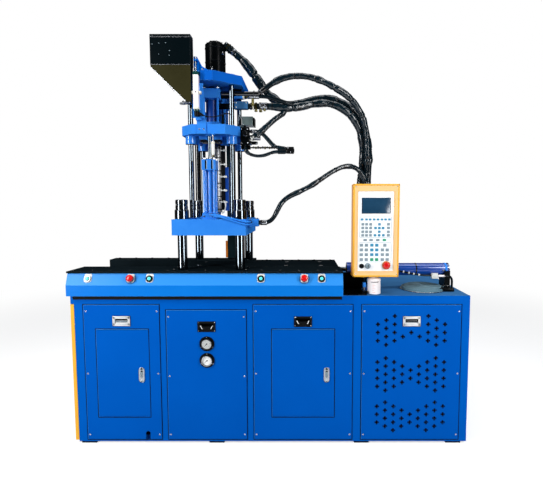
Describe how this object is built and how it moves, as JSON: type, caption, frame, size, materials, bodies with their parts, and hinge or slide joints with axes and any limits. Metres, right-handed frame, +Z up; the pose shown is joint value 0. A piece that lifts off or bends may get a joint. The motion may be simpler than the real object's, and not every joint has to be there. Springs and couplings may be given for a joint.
{
  "type": "injection moulding machine",
  "caption": "Vertical injection moulding machine: cabinet base, sliding mould table, four-bar press, screw injection unit with hopper, side control panel.",
  "frame": {"origin": "middle of the machine's footprint on the floor", "axes": "+X to the machine's right, +Y to its back, +Z up"},
  "size_m": [2.33, 1.0398, 2.4204],
  "materials": {
    "blue_paint": "gloss",
    "yellow_paint": "gloss",
    "black_steel": "satin",
    "black_gloss": "gloss",
    "hard_chrome": "polished",
    "bright_steel": "satin",
    "cast_grey": "matt",
    "heater_bands": "satin",
    "olive_enamel": "gloss",
    "orange_enamel": "gloss",
    "keypad_white": "matt",
    "red_plastic": "gloss",
    "green_plastic": "gloss",
    "black_plastic": "gloss",
    "pot_white": "satin",
    "cover_grey": "satin",
    "black_rubber": "matt"
  },
  "bodies": {
    "machine_base": {"base_frame": "blue_paint", "levelling_feet": "black_rubber", "side_cover_left": "yellow_paint", "rear_covers": "blue_paint", "front_panel_left": "blue_paint", "front_panel_gauge": "blue_paint", "front_panel_middle": "blue_paint", "front_panel_vented": "blue_paint", "cover_screws": "bright_steel", "handle_cups": "hard_chrome", "gauge_cases": "black_plastic", "clamp_cylinder": "blue_paint", "power_pack": "cast_grey", "table_apron": "blue_paint", "table_front_plate": "black_steel", "table_bed": "black_steel", "button_bezels": "hard_chrome", "slide_cylinder": "blue_paint", "tank_cover": "cover_grey", "lube_pot": "pot_white", "panel_arm": "blue_paint", "hose_collars": "black_rubber", "hoses_lower": "black_rubber", "hose_platen": "black_rubber"},
    "clamp_unit": {"tie_bars": "hard_chrome", "moving_platen": "blue_paint", "tie_bar_nuts": "black_gloss", "lower_crosshead": "blue_paint", "guide_rods": "hard_chrome", "seat_cylinder": "blue_paint", "platen_pipes": "blue_paint", "hoses_upper": "black_rubber"},
    "injection_seat": {"seat_plate": "blue_paint", "barrel": "bright_steel", "barrel_heaters": "heater_bands", "injection_cylinders": "blue_paint", "hopper": "olive_enamel", "position_sensor": "bright_steel", "seat_hoses": "black_rubber"},
    "hopper_lid": {"hopper_lid": "olive_enamel"},
    "injection_ram": {"top_plate": "blue_paint", "screw_motor": "black_gloss", "hose_motor": "black_rubber"},
    "screw": {"screw": "hard_chrome"},
    "slide_table": {"slide_plate": "black_steel"},
    "door_left": {"door_left": "blue_paint"},
    "door_middle": {"door_middle": "blue_paint"},
    "lock_lever_left": {"lock_lever_left": "bright_steel"},
    "lock_lever_middle": {"lock_lever_middle": "bright_steel"},
    "control_panel": {"panel_case": "orange_enamel", "panel_keypad": "keypad_white"},
    "panel_estop": {"panel_estop": "red_plastic"},
    "needle_upper": {"needle_upper": "black_plastic"},
    "needle_lower": {"needle_lower": "black_plastic"},
    "estop_left": {"estop_left": "red_plastic"},
    "estop_right": {"estop_right": "red_plastic"},
    "start_button_1": {"start_button_1": "green_plastic"},
    "start_button_2": {"start_button_2": "green_plastic"},
    "start_button_3": {"start_button_3": "green_plastic"},
    "start_button_4": {"start_button_4": "green_plastic"}
  },
  "joints": [
    {"name": "clamp_stroke", "type": "slide", "parent": "machine_base", "child": "clamp_unit", "axis": [0, 0, 1], "range_m": [0, 0.2]},
    {"name": "seat_stroke", "type": "slide", "parent": "clamp_unit", "child": "injection_seat", "axis": [0, 0, 1], "range_m": [-0.12, 0]},
    {"name": "injection_stroke", "type": "slide", "parent": "injection_seat", "child": "injection_ram", "axis": [0, 0, 1], "range_m": [0, 0.15]},
    {"name": "screw_spin", "type": "hinge", "parent": "injection_ram", "child": "screw", "pos_m": [-0.35, -0.2, 2], "axis": [0, 0, 1], "continuous": true},
    {"name": "table_stroke", "type": "slide", "parent": "machine_base", "child": "slide_table", "axis": [1, 0, 0], "range_m": [-0.544, 0]},
    {"name": "door_left_hinge", "type": "hinge", "parent": "machine_base", "child": "door_left", "pos_m": [-1.019, -0.452, 0.43], "axis": [0, 0, -1], "range_deg": [0, 100]},
    {"name": "lock_left_hinge", "type": "hinge", "parent": "door_left", "child": "lock_lever_left", "pos_m": [-0.76, -0.457, 0.396], "axis": [1, 0, 0], "range_deg": [0, 70]},
    {"name": "door_middle_hinge", "type": "hinge", "parent": "machine_base", "child": "door_middle", "pos_m": [0.011, -0.452, 0.43], "axis": [0, 0, -1], "range_deg": [0, 100]},
    {"name": "lock_middle_hinge", "type": "hinge", "parent": "door_middle", "child": "lock_lever_middle", "pos_m": [0.33, -0.457, 0.396], "axis": [1, 0, 0], "range_deg": [0, 70]},
    {"name": "lid_hinge", "type": "hinge", "parent": "injection_seat", "child": "hopper_lid", "pos_m": [-0.607, -0.2845, 2.351], "axis": [-1, 0, 0], "range_deg": [0, 100]},
    {"name": "panel_swivel", "type": "hinge", "parent": "machine_base", "child": "control_panel", "pos_m": [0.62, -0.281, 1.25], "axis": [0, 0, 1], "range_deg": [-25, 25]},
    {"name": "needle_upper_turn", "type": "hinge", "parent": "machine_base", "child": "needle_upper", "pos_m": [-0.373, -0.466, 0.608], "axis": [0, 1, 0], "range_deg": [0, 270], "stiffness_Nm_per_rad": 0.002},
    {"name": "needle_lower_turn", "type": "hinge", "parent": "machine_base", "child": "needle_lower", "pos_m": [-0.373, -0.466, 0.509], "axis": [0, 1, 0], "range_deg": [0, 270], "stiffness_Nm_per_rad": 0.002},
    {"name": "start_button_1_press", "type": "slide", "parent": "machine_base", "child": "start_button_1", "axis": [0, 0.9341, -0.3571], "range_m": [0, 0.005], "stiffness_N_per_m": 500, "springref_m": -0.003},
    {"name": "start_button_2_press", "type": "slide", "parent": "machine_base", "child": "start_button_2", "axis": [0, 0.9341, -0.3571], "range_m": [0, 0.005], "stiffness_N_per_m": 500, "springref_m": -0.003},
    {"name": "start_button_3_press", "type": "slide", "parent": "machine_base", "child": "start_button_3", "axis": [0, 0.9341, -0.3571], "range_m": [0, 0.005], "stiffness_N_per_m": 500, "springref_m": -0.003},
    {"name": "start_button_4_press", "type": "slide", "parent": "machine_base", "child": "start_button_4", "axis": [0, 0.9341, -0.3571], "range_m": [0, 0.005], "stiffness_N_per_m": 500, "springref_m": -0.003},
    {"name": "estop_left_press", "type": "slide", "parent": "machine_base", "child": "estop_left", "axis": [0, 0.9341, -0.3571], "range_m": [0, 0.005]},
    {"name": "estop_right_press", "type": "slide", "parent": "machine_base", "child": "estop_right", "axis": [0, 0.9341, -0.3571], "range_m": [0, 0.005]},
    {"name": "panel_estop_press", "type": "slide", "parent": "control_panel", "child": "panel_estop", "axis": [0, 1, 0], "range_m": [0, 0.005]}
  ]
}
